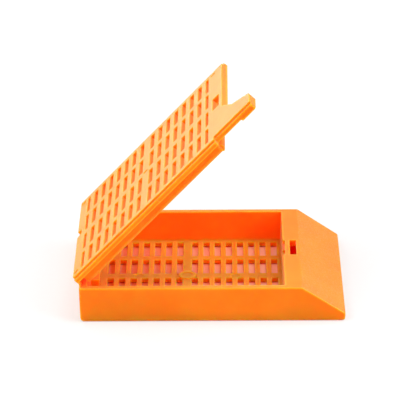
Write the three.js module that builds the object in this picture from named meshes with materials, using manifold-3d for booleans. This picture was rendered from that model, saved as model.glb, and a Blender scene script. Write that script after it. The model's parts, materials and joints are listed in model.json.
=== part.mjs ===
// Tissue cassette: a perforated tray with a sloping label face, and a perforated snap lid that
// is joined to the tray's rear rim by two thin film-hinge straps. One moulding in the real
// product; here the tray, the lid and the two straps are separate solids, the lid held open.
//
// Millimetres. +X runs from the hinge to the label face, +Z is up. The origin lies on the
// tray's underside, in the middle of the perforated floor.

import * as THREE from "three";
import { mergeVertices } from "three/addons/utils/BufferGeometryUtils.js";
import Module from "manifold-3d";

const wasm = await Module();
wasm.setup();

// ---------------------------------------------------------------- driving dimensions

// Tray body
const trayLength = 40.5;        // hinge end to the foot of the label face
const trayWidth = 28.5;
const trayHeight = 5.75;        // underside to rim
const labelRun = 6.63;          // length of the sloping label face, seen from above
const toeHeight = 1.27;         // upright face at the foot of the label face
const rearWall = 1.2;
const sideWall = 1.0;
const floorTop = 0.9;           // upper face of the floor
const footRecess = 0.18;        // the floor is this much clear of the bench, inside a foot ring
const footRingWidth = 1.45;
const runnerWidth = 0.8;        // two crossed runners under the middle bars stand on the bench
const skin = 1.1;               // deck and label face, which are hollow underneath
const rearDraft = 0.13;         // the rear wall leans in by this much towards its foot
const sideDraft = 0.25;         // and each side wall by this much
const sideFootFillet = 0.45;    // round edges where the walls meet the underside
const endFootFillet = 0.8;
const rimFillet = 0.1;
const cornerRadius = 0.55;      // upright outside corners

// Specimen chamber and the front web that carries the catch
const deckLength = 1.53;        // flat strip in front of the web's outer face, up to the label face
const webThickness = 1.04;      // flexible wall between the chamber and the deck slot
const chamberCorner = 0.35;

// Perforation: columns of slots along X, and two rows on each side of a middle bar
const trayGrid = {
  centre: 0, pitch: 1.8, centrePitch: 2.4, width: 0.97, endWidth: 0.97,
  middleBar: 1.67, rowBar: 1.35, edgeBreak: 0.08 };
const lidGrid = {
  centre: 0.06, pitch: 1.825, centrePitch: 2.42, width: 0.8, endWidth: 0.56,
  middleBar: 1.7, rowBar: 1.35, edgeBreak: 0.08 };
const trayEndMargin = 0.6;      // plain floor left beyond the last slots, at least,
const traySideMargin = 1.165;   // and beside the outer rows
const lidEndMargin = 0.02;      // the same inside the lid's skirt
const lidSideMargin = 0.05;

// Details of the tray
const bossRadius = 1.35;        // round gate pad in the middle of the floor
const bossRise = 0.2;
const bossDrop = 0.28;          // how far the pad reaches down beside the middle bar
const bossDishRadius = 0.95;
const bossDish = 0.12;
const markRadius = 0.75;        // ejector marks on the middle bar
const markDepth = 0.12;
const markOffset = 7.6;
const stopLength = 1.45;        // low step against the rear wall, which the lid's heel clears
const stopWidth = 7.4;
const stopRise = 1.15;
const deckSlotLength = 1.03;
const catchWidth = 5.2;         // lead-in, deck slot and catch window share this width
const leadIn = 0.3;

// Lid
const plateThickness = 1.0;
const lidRearInset = 0.45;      // the lid's rear edge lies this far in from the tray's,
const lidSideInset = 0.09;      // its long sides this far
const lidSetback = 0.09;        // and its front end this far behind the label face
const panelRise = 0.33;         // raised panel on the lid's outside
const panelInset = 0.6;
const endBevel = 0.3;           // slanted front end of the lid
const endLip = 0.1;             // upright strip under that bevel
const lidSeatGap = 0.05;        // closed lid over the rim
const skirtClearance = 0.15;    // skirt inside the chamber
const skirtThickness = 0.5;     // across the front and the rear
const skirtSideThickness = 0.55;
const skirtDepth = 1.45;        // below the rim when closed
const frontSkirtExtra = 0.33;   // the front skirt is deeper than the rest
const skirtLeadIn = [0.28, 0.4]; // slanted foot of the long sides: how far in, how high
const lidMarkRadius = 0.48;     // ejector marks in the middle and near the corners
const cornerMarkInset = [0.75, 1.2]; // from the lid's rear edge, from the panel's edge
const frontMarkSetback = 2.0;

// Snap ridge, hook and the recesses that take them
const ridgeProud = 0.33;
const ridgeHeight = 1.13;
const ridgeCrest = [0.3, 0.72]; // part of that height at which it stands out fully
const ridgeEndMargin = 0.9;     // plain skirt beyond each end of the ridge
const ridgeRoot = 0.2;          // thickness left behind the ridge at the front skirt's foot
const hookProud = 0.5;
const hookWidth = 4.0;
const hookTopDrop = 1.1;        // catch face of the hook, below the rim
const hookNose = 0.3;
const catchClearance = 0.12;    // around ridge and hook when closed
const coreHoleSetback = 0.28;   // opening in the lid over the hook, from the skirt's outer face
const coreHoleLength = 1.4;
const coreHoleWidth = 4.6;

// Finger tab on the lid
const tabReach = 5.9;           // beyond the end of the lid's top face
const tabSideInset = 1.06;      // from the lid's edge to the tab's straight side
const tabNotch = 1.78;          // that side starts this far behind the end of the top face
const tabTipWidth = 3.95;
const tabTaper = 0.07;          // lean of the straight side
const tabShoulder = [1.85, 6.2]; // far edge: reach and width where the gusset ends
const tabGusset = 9.15;         // width where the gusset meets the lid's front end
const tabLip = 0.32;            // thicker finger grip under the tip
const tabLipLength = 2.65;
const tabLipRamp = 0.15;        // length of the slope where the grip begins

// Hinge
const openAngle = THREE.MathUtils.degToRad(46.65);
const hingeBehind = 0.75;       // axis behind the tray's rear edge
const hingeBelow = 0.24;        // axis below the rim
const strapThickness = 0.28;
const strapInset = 0.6;         // from the part's side to the strap
const strapWidth = 9.0;
const strapGap = 0.1;
const strapRise = 0.4;          // how far the strap rises before it leans over
const strapLean = [0.14, -0.3]; // where it leans in from, seen from its end at the lid
const strapRoot = [0.15, 0.62]; // part of the lid's rear face that the strap meets
const heelNotchWidth = 5.0;     // notch in the lid's rear edge, between the straps
const heelNotchDepth = 0.9;
const heelDrop = 0.3;           // the heel in that notch is this much lower than the lid's top,
const heelProud = 0.45;         // stands out this far,
const heelTipWidth = 3.2;       // and narrows to this

const cornerSteps = 3;          // facets on a small fillet
const roundSteps = 28;
const strapSteps = 8;

// ---------------------------------------------------------------- derived positions

const rearX = -(rearWall + chamberHalf());
const frontX = rearX + trayLength;
const slopeTopX = frontX - labelRun;
const webOuterX = slopeTopX - deckLength;
const chamberFrontX = webOuterX - webThickness;
const chamberRearX = rearX + rearWall;
const halfWidth = trayWidth / 2;
const chamberHalfWidth = halfWidth - sideWall;
const slopeAngle = Math.atan2(trayHeight - toeHeight, labelRun);

const lidUnder = trayHeight + lidSeatGap;
const lidTop = lidUnder + plateThickness;
const lidRearX = rearX + lidRearInset;
const lidHalfWidth = halfWidth - lidSideInset;
const lidFrontX = slopeTopX - lidSetback - endBevel;       // front end of the lid's top face
const skirtRearX = chamberRearX + skirtClearance;
const skirtFrontX = chamberFrontX - skirtClearance;
const skirtHalfWidth = chamberHalfWidth - skirtClearance;
const panelHalfWidth = lidHalfWidth - panelInset;
const tabSide = -lidHalfWidth + tabSideInset;               // y of the tab's straight side
const tabTipX = lidFrontX + tabReach;
const hingeX = rearX - hingeBehind;
const hingeZ = trayHeight - hingeBelow;

// Half of the chamber's length, which puts the origin in the middle of the chamber.
function chamberHalf() {
  return (trayLength - labelRun - deckLength - webThickness - rearWall) / 2;
}

// ---------------------------------------------------------------- shape helpers

// A closed outline from corners [x, y, fillet]; a corner with no fillet stays sharp.
function outline(corners) {
  const shape = new THREE.Shape();
  const at = corners.map(([x, y]) => new THREE.Vector2(x, y));
  corners.forEach(([, , fillet = 0], i) => {
    const before = at[(i + at.length - 1) % at.length];
    const here = at[i];
    const after = at[(i + 1) % at.length];
    const toward = (other) => here.clone().add(other.clone().sub(here).setLength(fillet));
    const start = fillet ? toward(before) : here;
    if (i === 0) shape.moveTo(start.x, start.y);
    else shape.lineTo(start.x, start.y);
    if (fillet) {
      const end = toward(after);
      shape.quadraticCurveTo(here.x, here.y, end.x, end.y);
    }
  });
  return shape;
}

function rectangle(x0, x1, y0, y1, fillet = 0) {
  return outline([[x0, y0, fillet], [x1, y0, fillet], [x1, y1, fillet], [x0, y1, fillet]]);
}

function circle(x, y, radius) {
  return new THREE.Shape().absarc(x, y, radius, 0, Math.PI * 2, false);
}

// A closed three.js geometry as a solid that can be joined and cut.
function toSolid(geometry) {
  const bare = geometry.clone();
  bare.deleteAttribute("normal");
  bare.deleteAttribute("uv");
  const merged = mergeVertices(bare, 1e-5);
  return new wasm.Manifold(new wasm.Mesh({
    numProp: 3,
    vertProperties: new Float32Array(merged.attributes.position.array),
    triVerts: new Uint32Array(merged.index.array),
  }));
}

function extrude(shapes, depth, steps = cornerSteps) {
  return new THREE.ExtrudeGeometry(shapes, { depth, bevelEnabled: false, curveSegments: steps });
}

// An outline drawn from above, raised from z0 to z1.
function fromPlan(shapes, z0, z1, steps) {
  return toSolid(extrude(shapes, z1 - z0, steps).translate(0, 0, z0));
}

// An outline drawn from the side (x, z), carried across from y0 to y1.
function fromSide(shape, y0, y1, steps) {
  const turn = new THREE.Matrix4().makeBasis(
    new THREE.Vector3(1, 0, 0), new THREE.Vector3(0, 0, 1), new THREE.Vector3(0, -1, 0));
  return toSolid(extrude(shape, y1 - y0, steps).applyMatrix4(turn).translate(0, y1, 0));
}

// An outline drawn from the end (y, z), carried along from x0 to x1.
function fromEnd(shape, x0, x1) {
  const turn = new THREE.Matrix4().makeBasis(
    new THREE.Vector3(0, 1, 0), new THREE.Vector3(0, 0, 1), new THREE.Vector3(1, 0, 0));
  return toSolid(extrude(shape, x1 - x0).applyMatrix4(turn).translate(x0, 0, 0));
}

// ---------------------------------------------------------------- perforation

// Slot spans [low, high] along X, out from a wider bar in the middle, as many as fit on both
// sides within reach of it; the last on each side has its own width.
function slotColumns({ centre, pitch, centrePitch, width, endWidth }, reach) {
  const first = (centrePitch - width) / 2;
  const count = Math.floor((reach - first - endWidth) / pitch) + 1;
  const spans = [];
  for (let i = 0; i < count; i += 1) {
    const near = first + i * pitch;
    const far = near + (i === count - 1 ? endWidth : width);
    spans.push([centre + near, centre + far], [centre - far, centre - near]);
  }
  return spans;
}

// Slot spans along Y: two rows of equal length on each side of the middle bar.
function slotRows({ middleBar, rowBar }, reach) {
  const length = (reach - middleBar / 2 - rowBar) / 2;
  const inner = [middleBar / 2, middleBar / 2 + length];
  const outer = [inner[1] + rowBar, reach];
  return [inner, outer].flatMap(([a, b]) => [[a, b], [-b, -a]]);
}

// Section of a slot through a wall whose upper face is at top: upright, then broken at 45 degrees.
function slotSection([low, high], top, edgeBreak) {
  const above = 0.2;
  const wide = edgeBreak + above;
  return outline([
    [low, -1], [high, -1], [high, top - edgeBreak], [high + wide, top + above],
    [low - wide, top + above], [low, top - edgeBreak]]);
}

// All the slots of one wall: the columns crossed with the rows, which reach this far along
// X from the grid's centre and along Y from the middle.
function slotCutter(grid, top, reachX, reachY) {
  const solidOf = (spans, carry) => spans
    .map((span) => carry(slotSection(span, top, grid.edgeBreak)))
    .reduce((all, one) => all.add(one));
  const columns = solidOf(
    slotColumns(grid, reachX), (shape) => fromSide(shape, -halfWidth, halfWidth));
  const rows = solidOf(slotRows(grid, reachY), (shape) => fromEnd(shape, rearX, frontX));
  return columns.intersect(rows);
}

// ---------------------------------------------------------------- tray

// Outside of the tray: side, end and plan outlines meet in one drafted, rounded body.
function trayOutside() {
  const side = outline([
    [rearX + rearDraft, 0, endFootFillet], [frontX, 0, endFootFillet], [frontX, toeHeight, rimFillet],
    [slopeTopX, trayHeight, rimFillet], [rearX, trayHeight, rimFillet]]);
  const end = outline([
    [-halfWidth + sideDraft, 0, sideFootFillet], [halfWidth - sideDraft, 0, sideFootFillet],
    [halfWidth, trayHeight, rimFillet], [-halfWidth, trayHeight, rimFillet]]);
  const plan = rectangle(rearX, frontX, -halfWidth, halfWidth, cornerRadius);
  return fromSide(side, -halfWidth, halfWidth)
    .intersect(fromEnd(end, rearX - 1, frontX + 1))
    .intersect(fromPlan(plan, -1, trayHeight + 1));
}

// The specimen chamber, open at the top and wider at the rim than at the floor.
function chamber() {
  const above = 2;
  const stretch = above / (trayHeight - floorTop);
  const outlineBetween = (low, high, draft) => outline([
    [low + draft, floorTop, chamberCorner], [high - draft, floorTop, chamberCorner],
    [high + draft * stretch, trayHeight + above], [low - draft * stretch, trayHeight + above]]);
  return fromSide(outlineBetween(chamberRearX, chamberFrontX, rearDraft), -halfWidth, halfWidth)
    .intersect(fromEnd(outlineBetween(-chamberHalfWidth, chamberHalfWidth, sideDraft), rearX, frontX));
}

// The open hollow under the deck and the label face, which follows both at one skin thickness.
function labelHollow() {
  const top = trayHeight - skin;
  const breakX = slopeTopX - skin * Math.tan(slopeAngle / 2);
  const toeX = frontX - skin;
  const toeZ = top - (toeX - breakX) * Math.tan(slopeAngle);
  const side = outline([
    [webOuterX, -1], [toeX, -1], [toeX, Math.max(toeZ, 0.2)], [breakX, top], [webOuterX, top]]);
  return fromSide(side, -chamberHalfWidth, chamberHalfWidth);
}

// Groove across the front web for the lid's snap ridge.
function snapGroove() {
  const [low, high] = [ridgeSpan()[0] - catchClearance, ridgeSpan()[1] + catchClearance];
  const depth = ridgeProud - skirtClearance + 2 * catchClearance;
  const side = outline([
    [chamberFrontX - 0.5, low - 0.5], [chamberFrontX, low],
    [chamberFrontX + depth, low + ridgeHeight / 3], [chamberFrontX + depth, high - ridgeHeight / 3],
    [chamberFrontX, high], [chamberFrontX - 0.5, high + 0.5]]);
  const half = ridgeHalfWidth() + catchClearance;
  return fromSide(side, -half, half);
}

// Lead-in, catch window and deck slot, which line up with the lid's hook.
function catchCuts() {
  const half = catchWidth / 2;
  const windowTop = trayHeight - hookTopDrop + catchClearance;
  const windowLow = trayHeight - skirtDepth - frontSkirtExtra - 2 * catchClearance;
  const cut = (x0, x1, z0, z1) => fromPlan(rectangle(x0, x1, -half, half), z0, z1);
  return cut(chamberFrontX - 1, chamberFrontX + leadIn, windowLow, trayHeight + 1)
    .add(cut(chamberFrontX - 1, webOuterX + 0.1, windowLow, windowTop))
    .add(cut(webOuterX, webOuterX + deckSlotLength, trayHeight - skin - 0.5, trayHeight + 1));
}

// The hollow under the floor, inside the foot ring and around the crossed runners.
function footHollow() {
  const x = -rearX - rearDraft - footRingWidth;
  const y = halfWidth - sideDraft - footRingWidth;
  const run = runnerWidth / 2;
  const plan = (x0, x1, y0, y1, fillet) => fromPlan(rectangle(x0, x1, y0, y1, fillet), -1, footRecess);
  return plan(-x, x, -y, y, 0.5)
    .subtract(plan(-x - 1, x + 1, -run, run))
    .subtract(plan(-run, run, -y - 1, y + 1));
}

function makeTray() {
  const stopX = chamberRearX + stopLength;
  const halfStop = stopWidth / 2;
  const pad = circle(0, 0, bossRadius);
  const dish = circle(0, 0, bossDishRadius);
  const marks = [-markOffset, markOffset].map((x) => circle(x, 0, markRadius));
  const stop = rectangle(rearX + rearWall / 2, stopX, -halfStop, halfStop, 0.1);
  const noSlots = fromPlan(rectangle(rearX, stopX + 0.5, -halfStop - 0.1, halfStop + 0.1), -2, trayHeight);
  const slots = slotCutter(
    trayGrid, floorTop, chamberHalf() - trayEndMargin, chamberHalfWidth - traySideMargin);

  return trayOutside()
    .subtract(chamber())
    .subtract(labelHollow())
    .subtract(footHollow())
    .subtract(slots.subtract(noSlots))
    .add(fromPlan(stop, floorTop / 2, floorTop + stopRise))
    .add(fromPlan(pad, floorTop - bossDrop, floorTop + bossRise, roundSteps))
    .subtract(fromPlan(dish, floorTop + bossRise - bossDish, trayHeight, roundSteps))
    .subtract(fromPlan(marks, floorTop - markDepth, trayHeight, roundSteps))
    .subtract(snapGroove())
    .subtract(catchCuts());
}

// ---------------------------------------------------------------- lid, drawn closed

function ridgeSpan() {
  const low = trayHeight - skirtDepth - frontSkirtExtra;
  return [low, low + ridgeHeight];
}

function ridgeHalfWidth() {
  return skirtHalfWidth - ridgeEndMargin;
}

// The lid's outline from above with its finger tab; inset pulls in the two long sides.
function lidOutline(inset = 0) {
  const low = -lidHalfWidth + inset;
  const high = lidHalfWidth - inset;
  const endX = lidFrontX + endBevel;
  const far = (width) => tabSide + width;
  return outline([
    [lidRearX, low, 0.25], [lidFrontX - tabNotch, low, 0.1],
    [lidFrontX - tabNotch, tabSide + inset], [tabTipX, tabSide + inset + tabTaper, 0.3],
    [tabTipX, far(tabTaper + tabTipWidth), 0.5],
    [endX + tabShoulder[0], far(tabShoulder[1]), 0.3],
    [endX, far(tabGusset)], [endX, high, 0.25], [lidRearX, high, 0.25]]);
}

// Plate with its raised panel, the slanted front end and the grip under the tab's tip.
function lidPlate() {
  const step = lidTop - panelRise;
  const slab = fromPlan(lidOutline(), lidUnder, step);
  const panel = fromPlan(lidOutline(panelInset), step - 0.1, lidTop);
  const bevelX = lidFrontX + endBevel;
  const bevel = outline([
    [lidFrontX, lidTop], [bevelX, lidUnder + endLip],
    [bevelX + 1, lidUnder + endLip], [bevelX + 1, lidTop + 1], [lidFrontX, lidTop + 1]]);
  const lipX = tabTipX - tabLipLength;
  const lip = outline([
    [lipX - tabLipRamp, lidUnder + 0.1], [lipX - tabLipRamp, lidUnder],
    [lipX, lidUnder - tabLip], [tabTipX + 1, lidUnder - tabLip], [tabTipX + 1, lidUnder + 0.1]]);
  const tabArea = fromPlan(lidOutline(), lidUnder - 1, lidTop + 1);
  return slab.add(panel)
    .subtract(fromSide(bevel, tabSide + tabGusset, halfWidth + 1))
    .add(fromSide(lip, -halfWidth, 0).intersect(tabArea));
}

// The ring under the plate that drops into the chamber: deeper along the front, and slanted
// at the foot of its long sides to lead it in.
function lidSkirt() {
  const top = lidUnder + 0.2;
  const low = trayHeight - skirtDepth;
  const [leadX, leadZ] = skirtLeadIn;
  const outer = rectangle(skirtRearX, skirtFrontX, -skirtHalfWidth, skirtHalfWidth, 0.4);
  const sides = outline([
    [-skirtHalfWidth + leadX, low], [skirtHalfWidth - leadX, low],
    [skirtHalfWidth, low + leadZ], [skirtHalfWidth, top],
    [-skirtHalfWidth, top], [-skirtHalfWidth, low + leadZ]]);
  const inner = rectangle(
    skirtRearX + skirtThickness, skirtFrontX - skirtThickness,
    -skirtHalfWidth + skirtSideThickness, skirtHalfWidth - skirtSideThickness, 0.2);
  const front = outline([
    [skirtFrontX - skirtThickness, low + 0.1], [skirtFrontX - skirtThickness, low],
    [skirtFrontX - ridgeRoot, low - frontSkirtExtra], [skirtFrontX, low - frontSkirtExtra],
    [skirtFrontX, low + 0.1]]);
  return fromPlan(outer, low, top)
    .intersect(fromEnd(sides, rearX, frontX))
    .subtract(fromPlan(inner, low - 1, top + 1))
    .add(fromSide(front, -ridgeHalfWidth(), ridgeHalfWidth()));
}

// Snap ridge along the front skirt, with the deeper hook in its middle.
function snapRidge() {
  const [low, high] = ridgeSpan();
  const ridge = outline([
    [skirtFrontX - ridgeRoot, low], [skirtFrontX, low],
    [skirtFrontX + ridgeProud, low + ridgeHeight * ridgeCrest[0]],
    [skirtFrontX + ridgeProud, low + ridgeHeight * ridgeCrest[1]],
    [skirtFrontX, high], [skirtFrontX - ridgeRoot, high]]);
  const catchZ = trayHeight - hookTopDrop;
  const hook = outline([
    [skirtFrontX - ridgeRoot, low], [skirtFrontX + 0.05, low],
    [skirtFrontX + hookProud, catchZ - hookNose], [skirtFrontX + hookProud, catchZ],
    [skirtFrontX - ridgeRoot, catchZ]]);
  return fromSide(ridge, -ridgeHalfWidth(), ridgeHalfWidth())
    .add(fromSide(hook, -hookWidth / 2, hookWidth / 2));
}

// The notch in the lid's rear edge and the heel that narrows outwards in it.
function heelNotch() {
  const half = heelNotchWidth / 2;
  const plan = rectangle(lidRearX - 1, lidRearX + heelNotchDepth, -half, half);
  return fromPlan(plan, lidUnder - 1, lidTop + 1);
}

function heel() {
  const [half, tip] = [heelNotchWidth / 2, heelTipWidth / 2];
  const plan = outline([
    [lidRearX - heelProud, -tip, 0.15], [lidRearX + heelNotchDepth + 0.1, -half],
    [lidRearX + heelNotchDepth + 0.1, half], [lidRearX - heelProud, tip, 0.15]]);
  return fromPlan(plan, lidUnder, lidTop - heelDrop);
}

function makeLid() {
  const coreX = skirtFrontX + coreHoleSetback;
  const core = rectangle(coreX, coreX + coreHoleLength, -coreHoleWidth / 2, coreHoleWidth / 2);
  const markX = lidRearX + cornerMarkInset[0];
  const markY = panelHalfWidth - cornerMarkInset[1];
  const marks = [
    [lidGrid.centre, 0], [markX, markY], [markX, -markY], [lidFrontX - frontMarkSetback, markY]]
    .map(([x, y]) => circle(x, y, lidMarkRadius));
  const insideSkirt = Math.min(
    skirtFrontX - skirtThickness - lidGrid.centre, lidGrid.centre - skirtRearX - skirtThickness);
  const slots = slotCutter(
    lidGrid, lidTop, insideSkirt - lidEndMargin,
    skirtHalfWidth - skirtSideThickness - lidSideMargin);

  return lidPlate()
    .subtract(slots)
    .subtract(fromPlan(core, lidUnder - 0.1, lidTop + 1))
    .subtract(fromPlan(marks, lidTop - markDepth, lidTop + 1, roundSteps / 2))
    .add(lidSkirt())
    .add(snapRidge())
    .subtract(heelNotch())
    .add(heel());
}

// ---------------------------------------------------------------- hinge straps

// Where a point (x, z) of the closed lid lies once the lid is open.
function opened(x, z) {
  const [dx, dz] = [x - hingeX, z - hingeZ];
  const [c, s] = [Math.cos(openAngle), Math.sin(openAngle)];
  return new THREE.Vector2(hingeX + dx * c - dz * s, hingeZ + dx * s + dz * c);
}

// The strap rises straight from the rear rim, then leans back to the lid's rear face, where it
// is a little thicker. Both its sides are Bezier curves; the ends stay clear by the strap gap.
function makeStrap(y0, y1) {
  const rim = trayHeight + strapGap;
  const rearFace = (part) => opened(lidRearX - strapGap, lidUnder + part * plateThickness);
  const lean = new THREE.Vector2(...strapLean);
  const [innerEnd, outerEnd] = strapRoot.map(rearFace);
  const outerX = rearX + rimFillet;
  const innerX = outerX + strapThickness;
  const outerFrom = outerEnd.clone().add(lean);
  const innerFrom = innerEnd.clone().add(lean);

  const side = new THREE.Shape();
  side.moveTo(innerX, rim);
  side.bezierCurveTo(innerX, rim + strapRise, innerFrom.x, innerFrom.y, innerEnd.x, innerEnd.y);
  side.lineTo(outerEnd.x, outerEnd.y);
  side.bezierCurveTo(outerFrom.x, outerFrom.y, outerX, rim + strapRise, outerX, rim);
  side.closePath();
  return fromSide(side, y0, y1, strapSteps);
}

// ---------------------------------------------------------------- scene graph

const acetal = new THREE.MeshStandardMaterial({
  color: 0xf98a26, roughness: 0.42, metalness: 0 });
const strapAcetal = new THREE.MeshStandardMaterial({
  color: 0xfab02c, roughness: 0.36, metalness: 0 });

// A solid as a named mesh whose vertices are given about the mesh's own origin.
function toMesh(name, solid, material, origin = new THREE.Vector3()) {
  const { vertProperties, triVerts } = solid.getMesh();
  const geometry = new THREE.BufferGeometry();
  geometry.setAttribute("position", new THREE.BufferAttribute(vertProperties, 3));
  geometry.setIndex(new THREE.BufferAttribute(triVerts, 1));
  geometry.translate(-origin.x, -origin.y, -origin.z);
  geometry.computeVertexNormals();
  const mesh = new THREE.Mesh(geometry, material);
  mesh.name = name;
  return mesh;
}

const hingeAxis = new THREE.Vector3(hingeX, 0, hingeZ);
const lidPivot = new THREE.Group();
lidPivot.position.copy(hingeAxis);
lidPivot.rotation.y = -openAngle;
lidPivot.add(toMesh("lid", makeLid(), acetal, hingeAxis));

const strapOuter = halfWidth - strapInset;
const strapInner = strapOuter - strapWidth;

const cassette = new THREE.Group();
cassette.add(
  toMesh("tray", makeTray(), acetal),
  lidPivot,
  toMesh("hinge_strap_near", makeStrap(-strapOuter, -strapInner), strapAcetal),
  toMesh("hinge_strap_far", makeStrap(strapInner, strapOuter), strapAcetal),
);

export default cassette;
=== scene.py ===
# %% [markdown]
# # A tissue cassette
# A histology cassette is a small perforated box that carries a piece of tissue through its
# chemical baths. Tray, snap lid and the two thin straps between them leave the mould as one
# piece of acetal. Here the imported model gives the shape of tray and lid, and this lesson adds
# what the eye needs: the real plastic, two properly bent hinge straps, and studio light.

# %% Load the frame
import json
import math

import bpy
import numpy as np
from mathutils import Matrix, Vector


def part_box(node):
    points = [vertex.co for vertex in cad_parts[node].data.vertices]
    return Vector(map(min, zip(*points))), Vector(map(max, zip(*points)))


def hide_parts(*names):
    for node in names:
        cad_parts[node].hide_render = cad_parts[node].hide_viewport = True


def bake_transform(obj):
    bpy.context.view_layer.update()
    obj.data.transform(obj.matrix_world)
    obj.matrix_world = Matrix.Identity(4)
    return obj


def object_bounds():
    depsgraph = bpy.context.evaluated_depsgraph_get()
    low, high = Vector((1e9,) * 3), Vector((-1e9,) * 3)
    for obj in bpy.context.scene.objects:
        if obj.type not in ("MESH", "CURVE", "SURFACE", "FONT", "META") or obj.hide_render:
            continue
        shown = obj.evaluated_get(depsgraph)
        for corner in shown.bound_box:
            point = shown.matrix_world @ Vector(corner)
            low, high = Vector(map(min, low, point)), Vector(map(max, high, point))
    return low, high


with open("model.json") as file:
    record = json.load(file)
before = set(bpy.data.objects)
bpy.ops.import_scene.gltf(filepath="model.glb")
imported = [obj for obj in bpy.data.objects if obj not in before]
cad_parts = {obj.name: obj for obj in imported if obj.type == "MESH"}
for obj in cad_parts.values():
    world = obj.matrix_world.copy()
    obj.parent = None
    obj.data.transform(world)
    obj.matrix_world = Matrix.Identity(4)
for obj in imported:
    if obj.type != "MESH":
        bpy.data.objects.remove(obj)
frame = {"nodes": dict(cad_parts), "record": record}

CAD_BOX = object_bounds()
MM = 0.001

# %% [markdown]
# ## Places to build from
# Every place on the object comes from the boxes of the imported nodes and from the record, so
# that the materials and straps follow the model when a size changes. The record's joint gives
# the angle at which the lid stands open; the mount on the label face gives that slope's plane.

# %% Places
tray_low, tray_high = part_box("tray")
JOINT = frame["record"]["behaviour"]["joints"][0]
OPEN_ANGLE = math.radians(-JOINT["range_deg"][0])
LABEL = next(m for m in frame["record"]["mounts"] if m["name"] == "label_face")
print("tray", [round(v / MM, 2) for v in (*tray_low, *tray_high)], "mm; open by",
      round(math.degrees(OPEN_ANGLE), 1), "degrees")

# %% [markdown]
# ## Camera
# The cassette is looked at from one long side, from 25 degrees above the bench, with a long
# lens, as a catalogue shows small labware. A long lens keeps the slots parallel. The camera is
# placed by its aim point, its direction and its distance, which is easier to reason about than
# three rotation angles.

# %% Camera
AIM = Vector((3.329, 3.834, 10.813)) * MM
DISTANCE = 391.74 * MM
TURN, DROP, ROLL = 0.00647, 0.4324, -0.0080     # radians
LENS = 215.90                                   # mm on a 36 mm sensor


def look(turn, drop, roll):
    """Camera axes as a matrix: looks along +Y turned by `turn`, down by `drop`, then rolled."""
    ahead = Vector((-math.sin(turn) * math.cos(drop), math.cos(turn) * math.cos(drop),
                    -math.sin(drop)))
    right = Vector((math.cos(turn), math.sin(turn), 0.0))
    up = right.cross(ahead)
    right, up = (math.cos(roll) * right + math.sin(roll) * up,
                 -math.sin(roll) * right + math.cos(roll) * up)
    return Matrix((right, up, -ahead)).transposed(), ahead


axes, ahead = look(TURN, DROP, ROLL)
camera = bpy.data.objects.new("camera", bpy.data.cameras.new("camera"))
bpy.context.scene.collection.objects.link(camera)
camera.matrix_world = Matrix.Translation(AIM - DISTANCE * ahead) @ axes.to_4x4()
camera.data.sensor_width = 36.0
camera.data.lens = LENS
bpy.context.scene.camera = camera
print("camera", [round(v, 4) for v in camera.location])

# %% [markdown]
# ## Node helpers
# Colours are easiest to pick as the hex values that paint charts and web pages use. Those are
# sRGB, and the shader wants linear light, so one function turns them. A second function adds
# any node with its inputs, and a third does sums with nodes, so that a material reads as a
# list of what it does.


# %% Helpers for materials
def linear(hex_colour):
    """sRGB hex to linear RGBA: divide by 12.92 near black, else ((c + 0.055) / 1.055) ** 2.4."""
    values = [int(hex_colour[i:i + 2], 16) / 255 for i in (1, 3, 5)]
    return (*(c / 12.92 if c <= 0.04045 else ((c + 0.055) / 1.055) ** 2.4 for c in values), 1.0)


def add(tree, kind, inputs=None, **settings):
    """Add a node. `inputs` fills its sockets, by name or number, with a link or a plain value;
    `settings` are the node's own options."""
    node = tree.nodes.new(kind)
    for name, value in settings.items():
        setattr(node, name, value)
    for name, value in (inputs or {}).items():
        if isinstance(value, bpy.types.NodeSocket):
            tree.links.new(value, node.inputs[name])
        else:
            node.inputs[name].default_value = value
    return node


def calc(tree, operation, *terms):
    """The result socket of one Math node on up to three terms."""
    return add(tree, "ShaderNodeMath", dict(enumerate(terms)), operation=operation).outputs[0]


def new_material(name):
    """An empty node material and its output node."""
    material = bpy.data.materials.new(name)
    material.use_nodes = True
    material.node_tree.nodes.clear()
    return material, add(material.node_tree, "ShaderNodeOutputMaterial")


print("a mid orange in linear light", [round(c, 3) for c in linear("#FE9718")])

# %% [markdown]
# ## Bench
# The cassette stands on a plain pale board. To the camera half of the board is plain white, so
# that the picture's ground stays white while the other half keeps the contact shadow. The plain
# white share stops just inside the tray's outline: under the tray the board is seen through the slots,
# where the light has first come through orange plastic. The renderer works out only part of
# that glow, so the board is given a warm tone there.

# %% Bench board
BOARD = ("#E0E0E0", "#E5E5E5")          # pale card, with a fibre pattern between two tones
WARM_SHADE = "#F6B89C"                  # the board under the tray
SEEN_WHITE = 0.5                        # share of plain white, as the camera sees it
FIBRE = 1.1 * MM                        # size of the fibre pattern
OUTLINE_INSET = 0.5 * MM                # the warm tone starts this far inside the outline
HALF_BENCH = 1.5                        # metres from its middle to its edge


def make_bench():
    """A flat square with its top at the underside of the tray."""
    mesh = bpy.data.meshes.new("bench")
    x, z = HALF_BENCH, float(tray_low.z)
    mesh.from_pydata([(-x, -x, z), (x, -x, z), (x, x, z), (-x, x, z)], [], [(0, 1, 2, 3)])
    bench = bpy.data.objects.new("bench", mesh)
    bpy.context.scene.collection.objects.link(bench)
    return bench


def outside(tree, spot, low, high, inset):
    """1 outside the rectangle from low to high, drawn in by inset and seen from above, else 0:
    the larger of step(|x - middle| - half + inset) and step(|y - middle| - half + inset)."""
    parts = add(tree, "ShaderNodeSeparateXYZ", {"Vector": spot})
    tests = []
    for axis, a, b in (("X", low.x, high.x), ("Y", low.y, high.y)):
        off = calc(tree, "ABSOLUTE", calc(tree, "SUBTRACT", parts.outputs[axis], (a + b) / 2))
        tests.append(calc(tree, "GREATER_THAN", off, (b - a) / 2 - inset))
    return calc(tree, "MAXIMUM", *tests)


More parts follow.
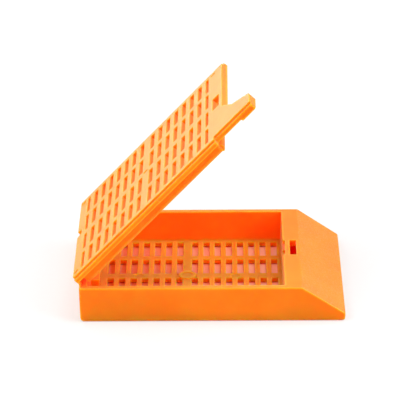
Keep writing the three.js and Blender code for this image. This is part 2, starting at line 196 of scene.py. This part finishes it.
bench_card, output = new_material("bench_pale_card")
tree = bench_card.node_tree
spot = add(tree, "ShaderNodeTexCoord").outputs["Object"]
fibre = add(tree, "ShaderNodeTexNoise", {"Vector": spot, "Scale": 1 / FIBRE, "Detail": 4.0})
tone = add(tree, "ShaderNodeMix", {0: fibre.outputs["Fac"], 6: linear(BOARD[0]),
                                   7: linear(BOARD[1])}, data_type="RGBA")
clear = outside(tree, spot, tray_low, tray_high, OUTLINE_INSET)
card = add(tree, "ShaderNodeMix", {0: clear, 6: linear(WARM_SHADE), 7: tone.outputs[2]},
           data_type="RGBA")
board = add(tree, "ShaderNodeBsdfDiffuse", {"Color": card.outputs[2]})
white = add(tree, "ShaderNodeEmission", {"Color": (1, 1, 1, 1), "Strength": 1.0})
ray = add(tree, "ShaderNodeLightPath")
share = calc(tree, "MULTIPLY", calc(tree, "MULTIPLY", ray.outputs["Is Camera Ray"], clear),
             SEEN_WHITE)
seen = add(tree, "ShaderNodeMixShader", {0: share, 1: board.outputs[0], 2: white.outputs[0]})
tree.links.new(seen.outputs[0], output.inputs["Surface"])

bench = make_bench()
bench.data.materials.append(bench_card)
print("bench at z", round(tray_low.z / MM, 2), "mm,", 2 * HALF_BENCH, "m wide")

# %% [markdown]
# ## Surroundings and light
# The surroundings are a dim white tent: to the camera and in reflections it is plain white, but
# as light it only fills the shadows. The shape comes from soft boxes. One on each side, a little
# to the front, lights the walls, the rims and the floor under the open lid. One above brightens
# the upward faces, and a small one far behind glances off the lid, which turns the lid's bars to
# cream. At the plain level a matt card shows its own colour. The near wall gets about 0.95 of
# that level. The upward faces get more, 1.1 to 1.45 for most and near 1.6 at the brightest of
# the lid, so they look lighter here than they would at the plain level.

# %% Studio tent
TENT = 0.28                             # strength of the tent as light

world = bpy.data.worlds.new("studio_tent")
bpy.context.scene.world = world
world.use_nodes = True
tree = world.node_tree
tree.nodes.clear()
ray = add(tree, "ShaderNodeLightPath")
seen = calc(tree, "MAXIMUM", ray.outputs["Is Camera Ray"], ray.outputs["Is Glossy Ray"])
seen = calc(tree, "MAXIMUM", seen, ray.outputs["Is Transmission Ray"])
tent = add(tree, "ShaderNodeBackground", {"Color": (1, 1, 1, 1), "Strength": TENT})
white = add(tree, "ShaderNodeBackground", {"Color": (1, 1, 1, 1), "Strength": 1.0})
mixed = add(tree, "ShaderNodeMixShader", {0: seen, 1: tent.outputs[0], 2: white.outputs[0]})
add(tree, "ShaderNodeOutputWorld", {"Surface": mixed.outputs[0]})
print("tent strength", TENT)

# %% Soft boxes
SOFT_BOXES = (                          # name, place in metres, side in metres, watts
    ("softbox_left", (-0.50, -0.16, 0.48), 0.5, 3.8),
    ("softbox_right", (0.56, -0.16, 0.38), 0.5, 3.4),
    ("softbox_top", (0.12, 0.10, 0.70), 0.5, 2.5),
    ("softbox_back", (-0.34, 0.72, 0.14), 0.3, 3.2),
)


def soft_box(name, place, side, watts, target):
    """A square area lamp at `place` that faces `target`."""
    lamp = bpy.data.objects.new(name, bpy.data.lights.new(name, "AREA"))
    lamp.data.shape = "SQUARE"
    lamp.data.size = side
    lamp.data.energy = watts
    lamp.location = place
    lamp.rotation_euler = (target - Vector(place)).to_track_quat("-Z", "Y").to_euler()
    bpy.context.scene.collection.objects.link(lamp)
    return lamp


middle = (Vector(CAD_BOX[0]) + Vector(CAD_BOX[1])) / 2
for name, place, side, watts in SOFT_BOXES:
    soft_box(name, place, side, watts, middle)
print(len(SOFT_BOXES), "soft boxes face", [round(v / MM, 1) for v in middle], "mm")

# %% [markdown]
# ## Acetal, moulded
# Tray, lid and straps are one shot of polyoxymethylene (acetal), a waxy plastic whose colour
# runs all through it. What that gives the eye:
# - a satin skin, with no deep gloss but pale reflections at shallow angles;
# - light that goes in, travels a millimetre or three and comes out redder, so the walls glow
#   and the slots look red inside;
# - edges that are paler and yellower than the flats, because there the light has the least
#   plastic to cross and the rounded edges catch the light; the shader paints this in as a
#   pale yellow highlight.
#
# So the shader is a Principled surface with subsurface scattering and a yellow sheen, mixed
# with a Translucent share, which lets some light through to the inner walls. Acetal's own IOR
# is 1.48; the fine moulded texture breaks up reflections seen head-on, and 1.17 was matched
# to the object.

# %% Acetal values
ORANGES = ("#FD9E12", "#FEA516", "#FFAC1C")     # the flow marks wander between these
# EDGE_HIGHLIGHT_YELLOW is a painted highlight: the pale yellow mixed into the colour along outer
# edges.
EDGE_HIGHLIGHT_YELLOW = "#FFD428"                         # thin edges
FROST = "#FFC88C"                               # grains of the frosted label face
DEEP_RED = "#FF4402"                            # light that has crossed a wall
IOR = 1.17
SHEEN, SHEEN_ROUGHNESS, SHEEN_TINT = 1.0, 0.45, "#FFF2A0"
SCATTER, SCATTER_RGB = 3.0 * MM, (1.0, 0.15, 0.03)      # red travels furthest
WALL_GLOW, STRAP_GLOW = 0.41, 0.48              # share of Translucent
SATIN = (0.36, 0.46)                            # roughness, least and most
FROSTED = 0.55                                  # roughness of the label face

FLOW, PEEL, GRAIN, FROST_GRAIN = 6 * MM, 1.2 * MM, 0.2 * MM, 0.3 * MM    # sizes on the object
EDGE_ROUND = 0.15 * MM                          # radius that the shading gives a sharp edge
# EDGE_DEPTH, EDGE_START and EDGE_FULL set where the painted edge highlight lies.
EDGE_DEPTH = 0.38 * MM                          # how far an edge looks pale
EDGE_START, EDGE_FULL = 0.93, 0.6               # inward openness where it starts and is full
LABEL_SKIN = 0.06 * MM                          # this near the label plane counts as on it
FLOW_STOPS = (0.35, 0.5, 0.68)                  # flow noise at which each orange lies
FLECK_START, FLECK_FULL = 0.45, 0.75            # fleck noise where frost starts and is full
FLECK_SHARE = 0.6                               # share of frost colour there
GRAIN_HEIGHT, FLECK_HEIGHT = 0.35, 2.2          # next to 1 for the peel pattern
BUMP, BUMP_HEIGHT = 0.4, 0.03 * MM
print("acetal between", ORANGES[0], "and", ORANGES[-1])


# %% Acetal patterns
def noise(tree, spot, size, detail):
    """Noise on the object's own coordinates; its scale is 1 / real size."""
    node = add(tree, "ShaderNodeTexNoise", {"Vector": spot, "Scale": 1 / size, "Detail": detail})
    return node.outputs["Fac"]


def blend_colour(tree, share, first, second):
    """first (1 - share) + second share."""
    node = add(tree, "ShaderNodeMix", {0: share, 6: first, 7: second}, data_type="RGBA")
    return node.outputs[2]


def remap(tree, value, low, high, to_low, to_high):
    """Straight line from (low, to_low) to (high, to_high), held at both ends."""
    node = add(tree, "ShaderNodeMapRange", {"Value": value, "From Min": low, "From Max": high,
                                            "To Min": to_low, "To Max": to_high})
    return node.outputs[0]


def painted_edge_highlight(tree):
    """Mask of the painted edge highlight: 1 along outer edges, 0 on flats. Ambient occlusion
    looks inward: near an edge its rays soon meet the next face from within, so the value falls."""
    inward = add(tree, "ShaderNodeAmbientOcclusion", {"Distance": EDGE_DEPTH}, samples=8,
                 inside=True, only_local=True)
    return remap(tree, inward.outputs["AO"], EDGE_START, EDGE_FULL, 0.0, 1.0)


def label_face(tree, spot):
    """1 on the plane of the label mount, else 0: | n . p - n . p0 | below LABEL_SKIN."""
    normal, point = LABEL["axis"], LABEL["pos_m"]
    along = add(tree, "ShaderNodeVectorMath", {0: spot, 1: normal}, operation="DOT_PRODUCT")
    level = sum(n * p for n, p in zip(normal, point))
    return calc(tree, "COMPARE", along.outputs["Value"], level, LABEL_SKIN)


print("label plane through", [round(v / MM, 2) for v in LABEL["pos_m"]], "mm")


# %% Acetal shader
def make_acetal(name, glow, label):
    """Colour, roughness and height patterns, then the satin surface and the share that glows."""
    material, output = new_material(name)
    tree = material.node_tree
    spot = add(tree, "ShaderNodeTexCoord").outputs["Object"]
    flow, peel, grain = (noise(tree, spot, size, detail)
                         for size, detail in ((FLOW, 3.0), (PEEL, 2.0), (GRAIN, 2.0)))

    ramp_node = add(tree, "ShaderNodeValToRGB", {"Fac": flow})
    ramp = ramp_node.color_ramp
    ramp.elements[0].position, ramp.elements[0].color = FLOW_STOPS[0], linear(ORANGES[0])
    ramp.elements[1].position, ramp.elements[1].color = FLOW_STOPS[2], linear(ORANGES[2])
    ramp.elements.new(FLOW_STOPS[1]).color = linear(ORANGES[1])
    # Painted highlight: pale yellow mixed into the colour along outer edges.
    colour = blend_colour(tree, painted_edge_highlight(tree), ramp_node.outputs["Color"],
                          linear(EDGE_HIGHLIGHT_YELLOW))
    roughness = remap(tree, peel, 0.0, 1.0, *SATIN)
    height = calc(tree, "MULTIPLY_ADD", grain, GRAIN_HEIGHT, peel)

    if label:
        on_label = label_face(tree, spot)
        fleck = noise(tree, spot, FROST_GRAIN, 3.0)
        flecks = remap(tree, fleck, FLECK_START, FLECK_FULL, 0.0, FLECK_SHARE)
        frost = calc(tree, "MULTIPLY", flecks, on_label)
        colour = blend_colour(tree, frost, colour, linear(FROST))
        roughness = add(tree, "ShaderNodeMix", {0: on_label, 2: roughness, 3: FROSTED}).outputs[0]
        rough_height = calc(tree, "MULTIPLY", fleck, FLECK_HEIGHT)
        height = add(tree, "ShaderNodeMix",
                     {0: on_label, 2: height, 3: rough_height}).outputs[0]

    edge = add(tree, "ShaderNodeBevel", {"Radius": EDGE_ROUND}, samples=4)
    bump = add(tree, "ShaderNodeBump", {"Height": height, "Normal": edge.outputs[0],
                                        "Strength": BUMP, "Distance": BUMP_HEIGHT})
    skin = add(tree, "ShaderNodeBsdfPrincipled", {
        "Base Color": colour, "Roughness": roughness, "Normal": bump.outputs[0], "IOR": IOR,
        "Sheen Weight": SHEEN, "Sheen Roughness": SHEEN_ROUGHNESS,
        "Sheen Tint": linear(SHEEN_TINT), "Subsurface Weight": 1.0,
        "Subsurface Radius": SCATTER_RGB, "Subsurface Scale": SCATTER})
    through = add(tree, "ShaderNodeBsdfTranslucent", {"Color": linear(DEEP_RED)})
    both = add(tree, "ShaderNodeMixShader", {0: glow, 1: skin.outputs[0], 2: through.outputs[0]})
    tree.links.new(both.outputs[0], output.inputs["Surface"])
    return material


acetal = make_acetal("acetal_moulded_orange", WALL_GLOW, label=True)
for name in ("tray", "lid"):
    for slot in frame["nodes"][name].material_slots:
        slot.material = acetal
print(acetal.name, "on tray and lid,", len(acetal.node_tree.nodes), "nodes")

# %% [markdown]
# ## Hinge straps
# The straps are the same plastic, pressed so thin that they bend like a ribbon. A box bent by
# hand would show facets, so each strap is one surface with two parameters: `along` runs from
# the tray's rim to the lid's rear edge, `around` runs round its rounded section. Both ends reach
# a little way into the mouldings, as the real plastic does, so no gap shows at the ends.

# %% Strap ends
STRAP_THICK = 0.28 * MM                 # at the rim
STRAP_END = 0.47 * MM                   # at the lid
REACH_IN = 0.12 * MM                    # how far each end goes into its moulding
GAP = 0.1 * MM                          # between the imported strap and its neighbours
RIM_PULL = np.array((0, 0.6)) * MM      # the strap leaves the rim straight up
LID_PULL = np.array((0.1, -0.36)) * MM  # and comes to the lid from below
STEPS, RING = 40, 56                    # points along the strap and round its section
SQUARENESS = 6                          # 2 is an ellipse, more is squarer
LID_ALONG = np.array((math.cos(OPEN_ANGLE), math.sin(OPEN_ANGLE)))      # x, z of the open lid
LID_ACROSS = np.array((-math.sin(OPEN_ANGLE), math.cos(OPEN_ANGLE)))

strap_low, strap_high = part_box("hinge_strap_near")
RIM_OUTER = np.array((strap_high.x - STRAP_THICK, tray_high.z - REACH_IN))
RIM_INNER = np.array((strap_high.x, tray_high.z - REACH_IN))
LID_OUTER = np.array((strap_low.x, strap_high.z)) + (GAP + REACH_IN) * LID_ALONG
LID_INNER = LID_OUTER - STRAP_END * LID_ACROSS
print("strap from", (RIM_INNER / MM).round(2), "to", (LID_INNER / MM).round(2), "mm")


# %% Strap surface
def bezier(points, t):
    """Cubic Bezier: (1-t)^3 a + 3 (1-t)^2 t b + 3 (1-t) t^2 c + t^3 d."""
    a, b, c, d = (np.asarray(p, float)[None, :] for p in points)
    t = t[:, None]
    return (1 - t) ** 3 * a + 3 * (1 - t) ** 2 * t * b + 3 * (1 - t) * t ** 2 * c + t ** 3 * d


def section():
    """A rounded slab, as two parameters from -1 to 1: across is sign(cos) |cos|^(2/n), through
    is sign(sin) |sin|^(2/n)."""
    angle = np.linspace(0, 2 * np.pi, RING, endpoint=False)
    power = 2 / SQUARENESS
    return tuple(np.sign(wave) * np.abs(wave) ** power for wave in (np.cos(angle), np.sin(angle)))


def strap_points(y0, y1):
    """The section carried along two Bezier sides: middle line plus half the distance between
    the sides times through, and y from middle plus half the width times across."""
    t = np.linspace(0, 1, STEPS)
    outer = bezier((RIM_OUTER, RIM_OUTER + RIM_PULL, LID_OUTER + LID_PULL, LID_OUTER), t)
    inner = bezier((RIM_INNER, RIM_INNER + RIM_PULL, LID_INNER + LID_PULL, LID_INNER), t)
    middle, half = (outer + inner) / 2, (inner - outer) / 2
    across, through = section()
    xz = middle[:, None, :] + half[:, None, :] * through[None, :, None]
    grid = np.empty((STEPS, RING, 3))
    grid[..., 0], grid[..., 2] = xz[..., 0], xz[..., 1]
    grid[..., 1] = ((y0 + y1) / 2 + (y1 - y0) / 2 * across)[None, :]
    return grid.reshape(-1, 3)


# %% Strap mesh
def tube_faces():
    """Four-sided faces between neighbouring rings, and one face over each end."""
    i, j = np.meshgrid(np.arange(STEPS - 1), np.arange(RING), indexing="ij")
    k = (j + 1) % RING
    around = np.stack((i * RING + j, (i + 1) * RING + j, (i + 1) * RING + k, i * RING + k), -1)
    first, last = range(RING), range(STEPS * RING - 1, (STEPS - 1) * RING - 1, -1)
    return around.reshape(-1, 4).tolist() + [list(first), list(last)]


def strap_mesh(name, y0, y1):
    """The closed strap between two places across the tray."""
    mesh = bpy.data.meshes.new(name)
    mesh.from_pydata(strap_points(y0, y1).tolist(), [], tube_faces())
    mesh.update()
    mesh.shade_smooth()
    return mesh


strap_acetal = make_acetal("acetal_film_hinge", STRAP_GLOW, label=False)
for side in ("near", "far"):
    node = f"hinge_strap_{side}"
    low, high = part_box(node)
    strap = bpy.data.objects.new(f"strap_{side}", strap_mesh(f"strap_{side}", low.y, high.y))
    bpy.context.scene.collection.objects.link(strap)
    strap.data.materials.append(strap_acetal)
    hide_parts(node)
    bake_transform(strap)
    print(strap.name, len(strap.data.polygons), "faces")

# %% [markdown]
# ## Finish
# The picture uses the Standard view transform.

# %% Finish
bpy.context.scene.view_settings.view_transform = "Standard"
